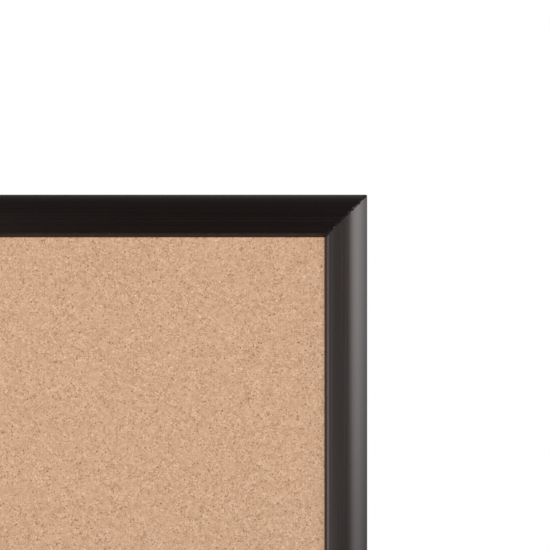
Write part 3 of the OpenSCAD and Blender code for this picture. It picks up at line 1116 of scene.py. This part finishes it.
class BOARD_OT_backing(bpy.types.Operator):
    """Make the core board and its kraft paper"""
    bl_idname = "board.backing"
    bl_label = "Backing"

    def execute(self, context):
        s = context.scene.board_backing
        tree = sheet_tree()
        core = run_tree("fibreboard_core", tree, sheet_mesh(
            "core", CORE_LO, CORE_HI, 6 * MM, False), {
            "Depth": 0.0, "Pit": 0.004, "Wave": 0.05, "Waviness": 0.5, "Fray": 0.0006,
            "Inwards": -1.0,
            "Material": fibre_finish("fibreboard", s.board, s.board_dark, 0.003, 0.0002, 0.6)})
        finished(tidy(core, 50.0), "board", "core_board")
        kraft = run_tree("kraft_paper", tree, sheet_mesh(
            "kraft", KRAFT_LO, KRAFT_HI, 4.5 * MM, False), {
            "Depth": s.wrinkle, "Pit": 0.011, "Wave": 0.07, "Waviness": 0.8, "Fray": 0.0004,
            "Inwards": -1.0,
            "Material": fibre_finish("kraft", s.kraft, s.kraft_dark, 0.0022, 0.00006, 0.8)})
        finished(tidy(kraft, 50.0), "board", "kraft_backing")
        return {"FINISHED"}


# ---------------------------------------------------------------- fixings

def point_template(s, thick):
    """A flat point whose tip looks up Z, with a pressed rib, standing behind y = 0."""
    half, tail = s.point_width / 2, s.point_drive - s.point_length
    corner = 0.6 * MM
    outline = ([(-half, s.point_drive - s.point_tip)]
               + straight((-half, s.point_drive - s.point_tip), (0, s.point_drive), 1)[1:]
               + [(0, s.point_drive), (half, s.point_drive - s.point_tip)]
               + arc((half - corner, tail + corner), corner, 0, -90, 4)
               + arc((-half + corner, tail + corner), corner, -90, -180, 4))
    plate = prism("point", outline, 0, thick)
    bevelled(plate, 0.12 * MM, 2)
    # the rib is a round button drawn out along the point and sunk into its face
    rib = lathe("rib", [(0, 0), (0.9 * MM, 0.02 * MM), (0.8 * MM, 0.22 * MM),
                        (0.45 * MM, 0.36 * MM), (0, 0.40 * MM)], 20, (0, 0, 0))
    drawn_out, from_tail, sunk = 3.2, 5.2 * MM, 0.1 * MM
    for vertex in rib.data.vertices:
        vertex.co.z = vertex.co.z * drawn_out + tail + from_tail
        vertex.co.y += thick - sunk
    absorb(plate, rib)
    return tidy(plate)


def nail_template(s, deep):
    """A V nail that opens along +X from the origin, from y = 0 to its driven edge in front."""
    half = s.nail_thickness / 2
    ends = []
    for sign in (1, -1):
        turn = Matrix.Rotation(sign * s.nail_spread, 2)
        ends += [tuple(turn @ Vector((s.nail_leg - half, side * half)))
                 for side in (sign, -sign)]
    # where the two legs' outer faces meet, and their inner ones
    corner = half / math.sin(s.nail_spread)
    outline = [(-corner, 0), ends[0], ends[1], (corner, 0), ends[3], ends[2]]
    nail = prism("nail", outline, -deep, 0)
    # the driven edge is a little narrower
    for vertex in nail.data.vertices:
        if vertex.co.y < -deep / 2:
            vertex.co.z *= 0.96
    return tidy(bevelled(nail, 0.08 * MM, 2))


class BOARD_OT_fixings(bpy.types.Operator):
    """Make the V nails of the mitres and the points that hold the panel"""
    bl_idname = "board.fixings"
    bl_label = "Nails and points"

    def execute(self, context):
        s = context.scene.board_fixings
        steel = metal_finish("point_steel", s.steel, s.rust, 0.34, 0.003)
        nails = metal_finish("nail_steel", shade(s.steel, 1.5), s.rust, 0.38, 0.002)
        tree = row_tree()
        lo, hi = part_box("retaining_points_top")
        point = point_template(s, hi.y - lo.y)
        # from the outer edge to the rabbet's wall, as an offset inwards
        rabbet = context.scene.board_moulding.lip - (STILE_HI.x - STILE_LO.x)
        for k, side in enumerate(SIDES):
            node = f"retaining_points_{side}"
            lo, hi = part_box(node)
            level = k % 2 == 0
            count = 5 if level else 3
            half = ((hi.x - lo.x) if level else (hi.z - lo.z)) / 2 - s.point_width / 2
            reach = (HALF_H if level else HALF_W) + rabbet
            turn = Matrix.Rotation(math.radians(90 * k), 3, "Y")
            piece = run_tree(f"panel_points_{side}", tree, mesh_from("empty", [(0, 0, 0)]), {
                "Template": point, "Count": count,
                "Start": turn @ Vector((-half, lo.y, reach)),
                "End": turn @ Vector((half, lo.y, reach)),
                "Turn": math.radians(90 * k), "Askew": math.radians(3.0), "Slip": 0.0012,
                "Seed": 11 + k, "Material": steel})
            finished(tidy(piece), "board", node)
        drop(point)
        lo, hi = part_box("mitre_nails_top_right")
        nail = nail_template(s, hi.y - lo.y)
        first, last = 6 * MM, 15 * MM
        for k, (level, side) in enumerate(CORNERS):
            across, up = ACROSS[side], UP[level]
            piece = run_tree(f"corner_nails_{level}_{side}", tree,
                             mesh_from("empty", [(0, 0, 0)]), {
                "Template": nail, "Count": 2,
                "Start": (across * (HALF_W - first), BACK_Y, up * (HALF_H - first)),
                "End": (across * (HALF_W - last), BACK_Y, up * (HALF_H - last)),
                "Turn": -math.atan2(-up, -across), "Askew": math.radians(2.0), "Slip": 0.0,
                "Seed": 31 + k, "Material": nails})
            finished(tidy(piece), "board", f"mitre_nails_{level}_{side}")
        drop(nail)
        return {"FINISHED"}


# ---------------------------------------------------------------- hangers

def strap_section(s, tail):
    """The folded sheet seen from its edge, as (v, z) from the wood's face and the pin's height.

    It runs up the back layer's outside, round the loop, down the front layer and back up
    through the slit and round the bore.
    """
    bore = s.wire + s.clearance
    loop = bore + s.sheet
    top = 2 * s.sheet
    # the front layer rises from the neck and leaves the loop at touch
    rise = loop - top
    lift = math.atan2(rise, s.neck) + math.asin(loop / math.hypot(s.neck, rise))
    touch = math.degrees(lift) + 90

    def round_pin(radius, start, stop, steps):
        """Points round the pin, from -90 degrees at the wood up over its top."""
        return [(loop + radius * math.sin(math.radians(a)), radius * math.cos(math.radians(a)))
                for a in np.linspace(start, stop, steps)]

    slit = (s.sheet - s.slit / 2, s.sheet + s.slit / 2)
    front_end, back_end = -tail + 0.5 * MM, -tail
    outline = [(0.0, back_end)] + straight((0.0, -s.neck), (0.0, 0.0), 4)
    outline += round_pin(loop, -90, touch, 40)
    outline += [(top, -s.neck), (top, front_end), (slit[1], front_end), (slit[1], -s.neck)]
    outline += round_pin(bore, touch - 6, -90, 36)
    return outline + [(slit[0], -s.neck), (slit[0], back_end)]


def strap(name, s, middle, pin_z, tail, wide):
    """A folded strap with a round tail, rounded upper corners and two screw holes."""
    section = [(BACK_Y + v, pin_z + z) for v, z in strap_section(s, tail)]
    half = wide / 2
    body = prism(name, section, middle - half, middle + half, axis="X")
    corner = 0.9 * MM
    top = pin_z + 3 * MM
    plan = (arc((middle + half - corner, top - corner), corner, 0, 90, 5)
            + arc((middle - half + corner, top - corner), corner, 90, 180, 5)
            + arc((middle, pin_z - tail + half), half, 180, 360, 48))
    cut(body, prism("plan", plan, BACK_Y - 0.01, BACK_Y + 0.01), "INTERSECT")
    for dropped in (s.first_screw, s.second_screw):
        hole = arc((middle, pin_z - dropped), s.hole, 0, 360, 48)[:-1]
        cut(body, prism("hole", hole, BACK_Y - 0.01, BACK_Y + 0.01))
    tidy(body, merge=1e-6)
    bevelled(body, 0.09 * MM, 2, 40.0)
    return tidy(body)


def pan_head(radius, height, dome):
    """A low domed head. Its underside is on y = 0."""
    edge, chamfer, roll = 0.18 * MM, 0.05 * MM, 0.25 * MM
    centre = height - dome
    rim = math.sqrt(dome ** 2 - radius ** 2) + centre
    start = math.degrees(math.atan2(rim - centre, radius)) + 2
    profile = [(0, 0), (radius - edge, 0), (radius - chamfer, chamfer), (radius, edge),
               (radius, rim - roll)]
    profile += [(dome * math.cos(math.radians(a)), centre + dome * math.sin(math.radians(a)))
                for a in np.linspace(start, 89, 16)]
    return lathe("screw", profile + [(0, height)], 64, (0, 0, 0))


def recess_wing(top, turn):
    """One wing of a cross recess, narrower at its foot."""
    wing, thick, deep = 2.0 * MM, 0.40 * MM, 1.65 * MM
    bm = bmesh.new()
    rows = []
    for y, grow in ((top - deep, 0.42), (top + 0.3 * MM, 1.15)):
        rows.append([bm.verts.new((x * wing * grow, y, z * thick * (0.55 + 0.45 * grow)))
                     for x, z in ((-1, -1), (1, -1), (1, 1), (-1, 1))])
    low, high = rows
    bm.faces.new(low)
    bm.faces.new(high[::-1])
    for i, n in closed(4):
        bm.faces.new((low[i], high[i], high[n], low[n]))
    bmesh.ops.rotate(bm, verts=bm.verts, cent=(0, 0, 0),
                     matrix=Matrix.Rotation(math.radians(turn), 3, "Y"))
    bmesh.ops.recalc_face_normals(bm, faces=bm.faces)
    mesh = bpy.data.meshes.new("recess")
    bm.to_mesh(mesh)
    bm.free()
    return new_object("recess", mesh)


def threaded_shank(radius, length, pitch):
    """A closed shell that starts inside the head and ends in a point."""
    sides, rows = 40, 150
    inside_head, point = 0.3 * MM, 3.2 * MM
    plain, run_in_length, root = 1.2 * MM, 1.5 * MM, 0.74
    points, faces = [], []
    for j in range(rows + 1):
        y = inside_head - (length + inside_head) * j / rows
        taper = min(1.0, max(0.02, (length + y) / point))
        run_in = min(1.0, max(0.0, (-y - plain) / run_in_length))
        core = radius * root if y < -0.8 * MM else radius
        for k in range(sides):
            a = 2 * math.pi * k / sides
            phase = (y / pitch + k / sides) % 1.0
            crest = 1 - abs(2 * phase - 1) * 2.2
            r = core + (radius - core) * max(0.0, crest) * run_in
            points.append((r * taper * math.cos(a), y, r * taper * math.sin(a)))
    for j in range(rows):
        a, b = j * sides, (j + 1) * sides
        faces += [(a + k, a + n, b + n, b + k) for k, n in closed(sides)]
    faces.append(tuple(range(sides)))
    faces.append(tuple(range((rows + 1) * sides - 1, rows * sides - 1, -1)))
    return tidy(new_object("shaft", mesh_from("shaft", points, faces)))


def screw_template():
    """A pan-head cross-recess wood screw along Y. The underside of its head is on y = 0."""
    height = 2.0 * MM
    screw = pan_head(3.4 * MM, height, 4.6 * MM)
    for turn in (0, 90):
        cut(screw, recess_wing(height, turn))
    tidy(screw, merge=1e-6)
    bevelled(screw, 0.05 * MM, 1, 40.0)
    absorb(screw, threaded_shank(1.6 * MM, 12 * MM, 1.25 * MM))
    return tidy(screw, 40.0)


def ring_path(s, middle, pin_y, pin_z):
    """The closed line that a ring's wire follows, hanging a little off its strap."""
    half, bend, arm = s.ring_half, s.ring_bend, s.ring_arm
    flat = half - bend
    line = straight((-flat, 0), (flat, 0), 14)
    line += arc((flat, -bend), bend, 90, 0, 10)[:-1]
    line += straight((half, -bend), (half, -arm), 6)
    line += arc((0, -arm), half, 0, -180, 48)[:-1]
    line += straight((-half, -arm), (-half, -bend), 6)
    line += arc((-flat, -bend), bend, 180, 90, 10)[:-1]
    lean = s.ring_rest
    return [(middle + x, pin_y - z * math.sin(lean), pin_z + z * math.cos(lean))
            for x, z in line]


class BOARD_OT_hangers(bpy.types.Operator):
    """Make both hangers: the strap, its screws and the D-ring"""
    bl_idname = "board.hangers"
    bl_label = "Hangers"

    def execute(self, context):
        s = context.scene.board_hangers
        zinc = metal_finish("zinc_plate", s.zinc, s.zinc_dull, 0.24, 0.005)
        wire = metal_finish("plated_wire", shade(s.zinc, 1.08), s.zinc_dull, 0.17, 0.006)
        joints = {j["child"]: j for j in frame["joints"]}
        wires, rows = wire_tree(), row_tree()
        screw = screw_template()
        for side in ACROSS:
            pin = Vector(joints[f"{side}_d_ring"]["pos_m"])
            lo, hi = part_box(f"hanger_strap_{side}")
            plate = strap(f"strap_{side}", s, pin.x, pin.z, pin.z - lo.z, hi.x - lo.x)
            finished(plate, "board", f"hanger_strap_{side}", zinc)
            seat = BACK_Y + 2 * s.sheet
            piece = run_tree(f"strap_screws_{side}", rows, mesh_from("empty", [(0, 0, 0)]), {
                "Template": screw, "Count": 2,
                "Start": (pin.x, seat, pin.z - s.first_screw),
                "End": (pin.x, seat, pin.z - s.second_screw),
                "Turn": 0.4, "Askew": 0.7, "Slip": 0.0, "Seed": 5 + ACROSS[side],
                "Material": zinc})
            finished(tidy(piece, 40.0), "board", f"hanger_screws_{side}")
            line = ring_path(s, pin.x, pin.y, pin.z)
            path = mesh_from("path", line, edges=closed(len(line)))
            piece = run_tree(f"ring_{side}", wires, path, {
                "Radius": s.wire, "Sides": 28, "Material": wire})
            finished(tidy(piece, 60.0), f"{side}_d_ring", f"d_ring_{side}")
        drop(screw)
        return {"FINISHED"}


def bumper_profile(ease, wide, deep):
    """A tapered foot as (radius, y), with an eased edge and a shallow dish in its face."""
    taper, foot_in, foot_up, dish = 1.5 * MM, 0.25 * MM, 0.3 * MM, 0.06 * MM
    lean = (wide - (wide - taper)) / deep
    profile = [(0, 0), (wide * 0.5, 0), (wide - foot_in, 0), (wide, foot_up)]
    for i in range(1, 7):
        y = foot_up + (deep - ease - foot_up) * i / 6
        profile.append((wide - lean * y, y))
    last = profile[-1][0]
    for a in np.linspace(15, 90, 7):
        r = math.radians(a)
        profile.append((last - ease * (1 - math.cos(r)), deep - ease + ease * math.sin(r)))
    return profile + [(last * 0.62, deep), (last * 0.6, deep - dish), (0, deep - dish)]


class BOARD_OT_bumpers(bpy.types.Operator):
    """Make the rubber bumpers that rest on the wall"""
    bl_idname = "board.bumpers"
    bl_label = "Bumpers"

    def execute(self, context):
        s = context.scene.board_bumpers
        paint = rubber(s)
        for side in ACROSS:
            node = f"wall_bumper_{side}"
            lo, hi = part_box(node)
            wide, deep = (hi.x - lo.x) / 2, hi.y - lo.y
            centre = ((lo.x + hi.x) / 2, lo.y, (lo.z + hi.z) / 2)
            piece = tidy(lathe(f"bumper_{side}", bumper_profile(s.ease, wide, deep), 72, centre),
                         30.0)
            finished(piece, "board", node, paint)
        return {"FINISHED"}


# ---------------------------------------------------------------- stage

def studio_world(s):
    """A soft box on the right and one on the left, a ceiling, and white behind the board."""
    world = bpy.data.worlds.new("studio")
    world.use_nodes = True
    world.node_tree.nodes.clear()
    g = Graph(world.node_tree)
    way = g.parts(g.node("ShaderNodeTexCoord").outputs["Generated"])
    # degrees to the right of the camera's side, and above the horizon
    bearing = g.math("DEGREES", g.math("ARCTAN2", way[0], g.times(way[1], -1.0)))
    height = g.math("DEGREES", g.math("ARCSINE", way[2]))

    def band(value, a, b, c, d):
        """1 between b and c, falling to 0 at a and d."""
        return g.times(g.between(value, a, b), g.between(value, c, d, 1.0, 0.0))

    key = g.times(band(bearing, 6, 34, 96, 114), g.between(bearing, 36, 90, 1.0, 0.34))
    key = g.times(key, g.between(height, -15, 2, 0.32, 1.0))
    key = g.times(key, band(height, -28, -14, 10, 28))
    fill = g.times(band(bearing, -96, -66, -38, -9), g.between(height, -14, 4, 1.0, 0.52))
    fill = g.times(fill, band(height, -28, -14, 8, 26))
    # the ceiling is bright only behind the board's face, where it lights the floor and back
    back = g.between(way[1], 0.28, 0.70)
    sky = g.between(height, 10, 90, smooth=False)
    ceiling = g.times(g.between(height, 5, 45), back)
    behind = g.times(g.between(g.math("ABSOLUTE", bearing), 124, 158),
                     g.between(height, -30, 20, 0.3, 1.1))
    glow = g.add(g.times(key, s.key), g.times(fill, s.fill))
    glow = g.add(glow, g.times(sky, s.overhead))
    glow = g.add(glow, g.add(g.times(ceiling, s.rear), behind))
    tint = g.mix(g.between(bearing, 5, 62), (1.0, 0.87, 0.86), (0.98, 1.0, 0.985))
    tint = g.mix(g.between(way[1], 0.0, 0.3), tint, (1.0, 1.0, 1.0))
    light = g.node("ShaderNodeBackground", {"Color": tint, "Strength": glow}).outputs[0]
    white = g.node("ShaderNodeBackground", {"Color": (1, 1, 1, 1), "Strength": 1.0}).outputs[0]
    seen = g.node("ShaderNodeLightPath").outputs["Is Camera Ray"]
    both = g.node("ShaderNodeMixShader", {0: seen, 1: light, 2: white}).outputs[0]
    g.node("ShaderNodeOutputWorld", {"Surface": both})
    bpy.context.scene.world = world


def floor_finish(s):
    """Pale matt paper that fades out at its rim."""
    made, g, shader = material("studio_floor")
    place = object_place(g)
    g.feed(shader.inputs["Base Color"], g.mix(
        g.times(g.noise(place, 0.35, 3.0), 0.25), s.floor, shade(s.floor, 0.94)))
    shader.inputs["Roughness"].default_value = 0.85
    x, y, _ = g.parts(place)
    out = g.node("ShaderNodeVectorMath", {0: g.xyz(x, y, 0.0)}, operation="LENGTH")
    fade = g.between(out.outputs["Value"], s.floor_radius * 0.55, s.floor_radius * 0.98, 1.0, 0.0)
    g.feed(shader.inputs["Alpha"], fade)
    return made


class BOARD_OT_stage(bpy.types.Operator):
    """Make the floor, the studio light and the camera"""
    bl_idname = "board.stage"
    bl_label = "Stage"

    def execute(self, context):
        s = context.scene.board_stage
        sides, rings = 96, 6
        points = [(0.0, 0.0, CAD_BOX[0].z)]
        for j in range(1, rings + 1):
            r = s.floor_radius * j / rings
            points += [(r * math.cos(2 * math.pi * k / sides),
                        r * math.sin(2 * math.pi * k / sides), CAD_BOX[0].z)
                       for k in range(sides)]
        faces = [(0, 1 + k, 1 + (k + 1) % sides) for k in range(sides)]
        for j in range(rings - 1):
            a, b = 1 + j * sides, 1 + (j + 1) * sides
            faces += [(a + k, b + k, b + (k + 1) % sides, a + (k + 1) % sides)
                      for k in range(sides)]
        floor = new_object("floor", mesh_from("floor", points, faces))
        floor.data.materials.append(floor_finish(s))

        studio_world(s)
        view = context.scene.view_settings
        view.view_transform = "Standard"
        view.look = "None"
        camera = bpy.data.objects.new("camera", bpy.data.cameras.new("camera"))
        context.scene.collection.objects.link(camera)
        camera.data.lens = s.lens
        camera.data.sensor_width = 36
        camera.location = (HALF_W - s.in_from_edge, FRONT_Y - s.distance,
                           HALF_H - s.down_from_top)
        camera.rotation_euler = (math.radians(90), 0, 0)
        context.scene.camera = camera
        return {"FINISHED"}


# ---------------------------------------------------------------- add-on

OPERATORS = (BOARD_OT_moulding, BOARD_OT_cork, BOARD_OT_backing, BOARD_OT_fixings,
             BOARD_OT_hangers, BOARD_OT_bumpers, BOARD_OT_stage)


class BOARD_PT_sidebar(bpy.types.Panel):
    """The steps that make the board, in order"""
    bl_idname = "BOARD_PT_sidebar"
    bl_label = "Cork bulletin board"
    bl_space_type = "VIEW_3D"
    bl_region_type = "UI"
    bl_category = "Board"

    def draw(self, context):
        for step, key in zip(OPERATORS, SETTINGS):
            box = self.layout.box()
            box.operator(step.bl_idname)
            settings = getattr(context.scene, key)
            for name in settings.__annotations__:
                box.prop(settings, name)


CLASSES = (*SETTINGS.values(), *OPERATORS, BOARD_PT_sidebar)


def register():
    for cls in CLASSES:
        bpy.utils.register_class(cls)
    for name, cls in SETTINGS.items():
        setattr(bpy.types.Scene, name, bpy.props.PointerProperty(type=cls))


def unregister():
    for name in SETTINGS:
        delattr(bpy.types.Scene, name)
    for cls in reversed(CLASSES):
        bpy.utils.unregister_class(cls)


def main():
    register()
    for step in ("moulding", "cork", "backing", "fixings", "hangers", "bumpers", "stage"):
        getattr(bpy.ops.board, step)()


if __name__ == "__main__":
    main()
